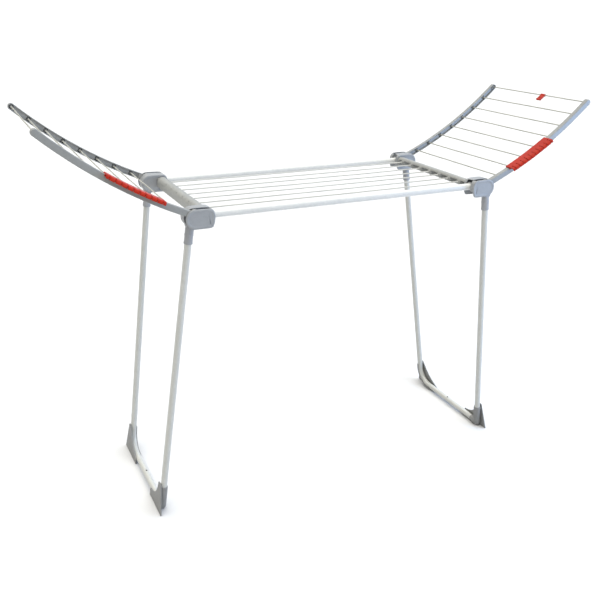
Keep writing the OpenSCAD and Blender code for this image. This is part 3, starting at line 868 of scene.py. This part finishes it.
for sx, sd in ((-1, "left"), (1, "right")):
    body = sd + "_legs"
    q = toe(sx)
    phi = math.pi / 2 - q
    t0 = BEND_R * math.tan(phi / 2)
    top = PIVOT_W - 13.0
    # bent leg: bottom bar, bend, rear leg
    path = [plane(-166 + (FOOT_HALF - t0 + 166) * i / 24, 0) for i in range(24)]
    for i in range(25):
        a = -math.pi / 2 + phi * i / 24
        path.append(plane(FOOT_HALF - t0 + BEND_R * math.cos(a), BEND_R + BEND_R * math.sin(a)))
    path += [on_leg(sx, 1, t0 + (top - t0) * i / 40) for i in range(1, 41)]
    mb = MB()
    tube(mb, path, LEG_R, 1.2, 36)
    ob = mb.build("bent")
    cut = MB()
    cut.lathe(plane(0, -3.0), UP, [(0, 2.9), (20, 2.9)], 28)
    ob = boolean(ob, cut.build("cutter"))
    ob = join(sd + "_bent_leg_tube", [ob], (sx, 1, 1))
    # the bent leg takes the darker copy of the tube paint, painted shade
    finish(ob, M["leg"], body, [sd + "_bent_leg"])
    # painted shade: the inside of the floor bar is coloured near-black, so the drain hole looks dark
    ob.data.materials.append(M["bare"])
    for f in ob.data.polygons:
        c = f.center
        if abs(c.y - DY * MM) < 0.16 and math.hypot(c.x - sx * BAR[0] * MM, c.z - BAR[1] * MM) < (LEG_R - 0.9) * MM:
            f.material_index = 1
    mb = MB()
    # the straight leg also takes the darker copy of the tube paint, painted shade
    tube(mb, [on_leg(sx, -1, 2 + (top - 2) * i / 44) for i in range(45)], LEG_R, 1.2, 36)
    finish(mb.build(sd + "_straight_leg_tube", (sx, 1, 1)), M["leg"], body, [sd + "_straight_leg"])
    for f, fr_ in ((-1, "front"), (1, "rear")):
        d = leg_dir(sx, f)
        o = on_leg(sx, f, 0)
        mb = MB()
        b0 = PIVOT_W - 51
        r = 11.5
        mb.lathe(o + d * b0, d, [(0.3, 9.6), (0.0, 10.2), (0.15, 10.9), (0.7, 11.5), (1.8, 11.95), (4.2, 12.0), (5.2, 11.65), (6.0, 11.45), (22.6, 11.5), (23.4, 11.6), (24.0, 11.95), (24.9, 12.1), (26.1, 12.1), (27.0, 11.95), (27.6, 11.6), (28.4, 11.5), (43.0, 11.5), (43.0, 9.6)], 48, ref=OUTN)
        piv = plane(f * leg_y(sx), PIVOT_W)
        mb.lathe(piv + Vector((0, -11, 0)), (0, 1, 0), [(0, 4.1), (0, 10.4), (0.35, 11.1), (1.0, 11.5), (21.0, 11.5), (21.65, 11.1), (22, 10.4), (22, 4.1)], 48)
        # a short round collar that blends the hub into the sleeve
        mb.lathe(o + d * (b0 + 40), d, [(0, 9.0), (0, 11.2), (8.5, 11.2), (8.5, 9.0)], 48, ref=OUTN)
        finish(mb.build("%s_%s_sleeve_moulding" % (sd, fr_), (sx, 1, 1)), M["sleeve"], body, ["%s_%s_sleeve" % (sd, fr_)])

    # front foot
    mb = MB()
    o = on_leg(sx, -1, 0)
    d = leg_dir(sx, -1)
    R_ = 12.3
    cup = [(-12.5, 0.6), (-12.3, 3.0), (-11.4, 5.6), (-9.6, 8.2), (-7.0, 10.4), (-3.6, 11.9), (0.0, 12.3), (30, 12.3), (60.5, 12.3), (63.2, 12.25), (64.9, 11.9), (65.8, 11.2), (66.0, 10.4), (65.8, 9.7), (64.5, 9.6), (3.0, 9.6), (3.0, 0.5)]
    mb.lathe(o, d, cup, 44, ref=OUTN)
    bar_o = plane(-FOOT_HALF, 0)
    mb.lathe(bar_o, (0, 1, 0), [(0, 9.0), (0, 12.1), (26.0, 12.1), (28.4, 11.9), (29.6, 11.2), (30.0, 10.3), (29.8, 9.7), (28.5, 9.6), (13, 9.6), (13, 0.5)], 44, ref=OUTN)
    wf = -(15 + 11.45 * math.sin(LEAN)) / math.cos(LEAN)

    def floor_w(off):
        return -(15 + off * math.sin(LEAN)) / math.cos(LEAN)
    fo = [(-212.8, floor_w(11.45) + 0.1)]
    fo += [(-190.6, 73.0), (-189.4, 75.4), (-186.8, 76.2), (-176.0, 76.2), (-171.8, 75.4), (-168.2, 73.0)]
    for i in range(22):
        a = math.radians(182 + 87 * i / 21)
        fo.append((-97 + 69 * math.cos(a), 78 + 69 * math.sin(a)))
    fo += [(-95.0, 8.4), (-93.8, 5.5), (-93.1, -5.0), (-92.9, floor_w(11.45) + 0.1)]
    rounded_plate(mb, fo, 9.7, 13.2, 0.8)
    # ribs between the fin and the two sockets
    for w in (10.0, 34.0, 56.0):
        y0 = on_leg(sx, -1, w).y
        mb.slab(((y0 - 15.0 + (w - 10) * 0.08, w, 6.0), (y0 + 13.0 - (w - 10) * 0.09, w + 1.6, 10.4)), Matrix(((0, -math.sin(LEAN), math.cos(LEAN), BAR[0]), (1, 0, 0, 0), (0, math.cos(LEAN), math.sin(LEAN), BAR[1]), (0, 0, 0, 1))), 0.3)
    ob = mb.build("foot", (sx, 1, 1))
    ob = join("%s_front_foot_moulding" % sd, [ob])
    finish(ob, M["foot"], body, [sd + "_front_foot"])

    # rear foot: trough round the outside of the bend, and the fin
    mb = MB()
    cpath = []
    for i in range(7):
        cpath.append(plane(FOOT_HALF - t0 - 14 + 14 * i / 7, 0))
    for i in range(25):
        a = -math.pi / 2 + phi * i / 24
        cpath.append(plane(FOOT_HALF - t0 + BEND_R * math.cos(a), BEND_R + BEND_R * math.sin(a)))
    cpath += [on_leg(sx, 1, t0 + (72 - t0) * i / 6) for i in range(1, 7)]
    lps = []
    nP = len(cpath)
    for i, p in enumerate(cpath):
        tn = (cpath[min(i + 1, nP - 1)] - cpath[max(i - 1, 0)]).normalized()
        side = tn.cross(OUTN).normalized()
        # outside of the bend is away from the frame's middle
        mid = plane(0, 200)
        if side.dot(p - mid) < 0:
            side = -side
        e = min(i, nP - 1 - i)
        k = [0.35, 0.8][e] if e < 2 else 1.0
        ring = []
        for j in range(17):
            a = math.radians(-98 + 196 * j / 16)
            ring.append(p + (side * math.cos(a) + OUTN * math.sin(a)) * (9.65 + 2.6 * k))
        for j in range(17):
            a = math.radians(98 - 196 * j / 16)
            ring.append(p + (side * math.cos(a) + OUTN * math.sin(a)) * 9.62)
        lps.append(ring)
    mb.loops(lps)
    fo = [(211.6 + 0.9, floor_w(11.45) + 0.1), (188.6, 77.0), (187.4, 79.2), (185.0, 80.0), (178.0, 80.0), (175.6, 78.6)]
    # diagonal hollow inner edge, from the leg down to the bar
    for i in range(1, 20):
        t = i / 20
        a0_, a1_ = Vector((175.6, 78.6)), Vector((89.5, 3.0))
        p = a0_.lerp(a1_, t)
        nrm = Vector((a1_ - a0_).orthogonal()).normalized()
        if nrm.y > 0:
            nrm = -nrm
        p = p + nrm * (9.0 * math.sin(math.pi * t)) * -1 * (-1)
        fo.append((p.x, p.y))
    fo += [(89.5, 3.0), (86.0, 1.0), (84.6, -3.0), (84.0, floor_w(11.45) + 0.1)]
    rounded_plate(mb, fo, 9.7, 13.2, 0.8)
    ob = mb.build("foot", (sx, 1, 1))
    ob = join("%s_rear_foot_moulding" % sd, [ob])
    finish(ob, M["foot"], body, [sd + "_rear_foot"])

# ------------------------------------------------------------------ carried-over CAD nodes
for n in ("wing_hinge_pins", "leg_hinge_pins", "housing_screws"):
    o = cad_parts[n]
    o.data.materials.clear()
    o.data.materials.append(M["steel"])
    o.data.polygons.foreach_set("use_smooth", [True] * len(o.data.polygons))
    o.data.set_sharp_from_angle(angle=math.radians(40))

# ------------------------------------------------------------------ stage, light, camera
fm = bpy.data.meshes.new("floor")
fm.from_pydata([(-60, -60, -0.0005), (60, -60, -0.0005), (60, 60, -0.0005), (-60, 60, -0.0005)], [], [(0, 1, 2, 3)])
floor = bpy.data.objects.new("floor", fm)
bpy.context.scene.collection.objects.link(floor)


def floor_nodes(nt, b):
    v = coords(nt)
    n = noise_tex(nt, 0.6, 3, 0.5, v)
    c = ramp(nt, n.outputs["Fac"], [(0.3, (0.575, 0.575, 0.58)), (0.7, (0.585, 0.585, 0.59))])
    nt.links.new(c.outputs["Color"], b.inputs["Base Color"])
    b.inputs["Specular IOR Level"].default_value = 0.05


floor.data.materials.append(mat("floor_paper", (0.58, 0.58, 0.58), 0.95, floor_nodes))

# a large soft overhead, dim warm sky on the left and brighter cool sky on the right
world = bpy.data.worlds.new("studio")
world.use_nodes = True
wt = world.node_tree
bg = wt.nodes["Background"]
bg.inputs["Strength"].default_value = 1.0
tc = wt.nodes.new("ShaderNodeTexCoord")
sp = wt.nodes.new("ShaderNodeSeparateXYZ")
wt.links.new(tc.outputs["Generated"], sp.inputs["Vector"])
side_ = ramp(wt, maprange(wt, sp.outputs["X"], -1.0, 1.0, 0.0, 1.0), [(0.0, (0.22, 0.215, 0.18)), (0.45, (0.46, 0.47, 0.47)), (1.0, (0.62, 0.84, 1.22))])
up_ = wt.nodes.new("ShaderNodeMapRange")
up_.interpolation_type = "SMOOTHSTEP"
up_.inputs["From Min"].default_value = 0.42
up_.inputs["From Max"].default_value = 0.95
wt.links.new(sp.outputs["Z"], up_.inputs["Value"])
top_ = wt.nodes.new("ShaderNodeVectorMath")
top_.operation = "SCALE"
top_.inputs[0].default_value = (1.0, 0.99, 0.95)
top_.inputs["Scale"].default_value = 3.3
sky_ = mix(wt, up_.outputs["Result"], side_.outputs["Color"], top_.outputs["Vector"])
# a narrow white band where the floor meets the sky
sky_ = mix(wt, maprange(wt, sp.outputs["Z"], 0.02, 0.05, 0.0, 1.0), (1.3, 1.3, 1.3), sky_)
# the backdrop itself is plain white; the gradient only lights the object
ray_ = wt.nodes.new("ShaderNodeLightPath")
wt.links.new(mix(wt, ray_.outputs["Is Camera Ray"], sky_, (1.3, 1.3, 1.3)), bg.inputs["Color"])
bpy.context.scene.world = world


def area(name, loc, target, size, power, color):
    l = bpy.data.lights.new(name, "AREA")
    l.shape = "RECTANGLE"
    l.size, l.size_y = size
    l.energy = power
    l.color = color
    o = bpy.data.objects.new(name, l)
    o.location = loc
    dvec = Vector(target) - Vector(loc)
    o.rotation_euler = dvec.to_track_quat("-Z", "Y").to_euler()
    bpy.context.scene.collection.objects.link(o)
    return o


area("right_cool", (1.9, -1.35, 0.95), (0.6, -0.2, 0.9), (0.8, 0.8), 24, (0.36, 0.58, 1.0))

sc = bpy.context.scene
sc.view_settings.view_transform = "Standard"
sc.view_settings.look = "None"
sc.view_settings.exposure = 0.0
sc.view_settings.gamma = 1.0

cam_d = bpy.data.cameras.new("camera")
cam = bpy.data.objects.new("camera", cam_d)
sc.collection.objects.link(cam)
CAM = Vector((-1.03004, -2.01895 + DY * MM, 1.42165))
az, el, roll, f_px, ppx, ppy = 0.4579, 0.3989, 0.0177, 750.30, 303.75, 313.93
dv = Vector((math.sin(az) * math.cos(el), math.cos(az) * math.cos(el), -math.sin(el)))
rv = dv.cross(Vector((0, 0, 1))).normalized()
uv = rv.cross(dv)
c_, s_ = math.cos(roll), math.sin(roll)
r2 = rv * c_ + uv * s_
u2 = -rv * s_ + uv * c_
cam.matrix_world = Matrix(((r2.x, u2.x, -dv.x, CAM.x), (r2.y, u2.y, -dv.y, CAM.y), (r2.z, u2.z, -dv.z, CAM.z), (0, 0, 0, 1)))
cam_d.sensor_width = 36.0
cam_d.lens = f_px * 36.0 / 600.0
cam_d.shift_x = (300 - ppx) / 600.0
cam_d.shift_y = (ppy - 300) / 600.0
cam_d.clip_start = 0.05
cam_d.clip_end = 100
sc.camera = cam
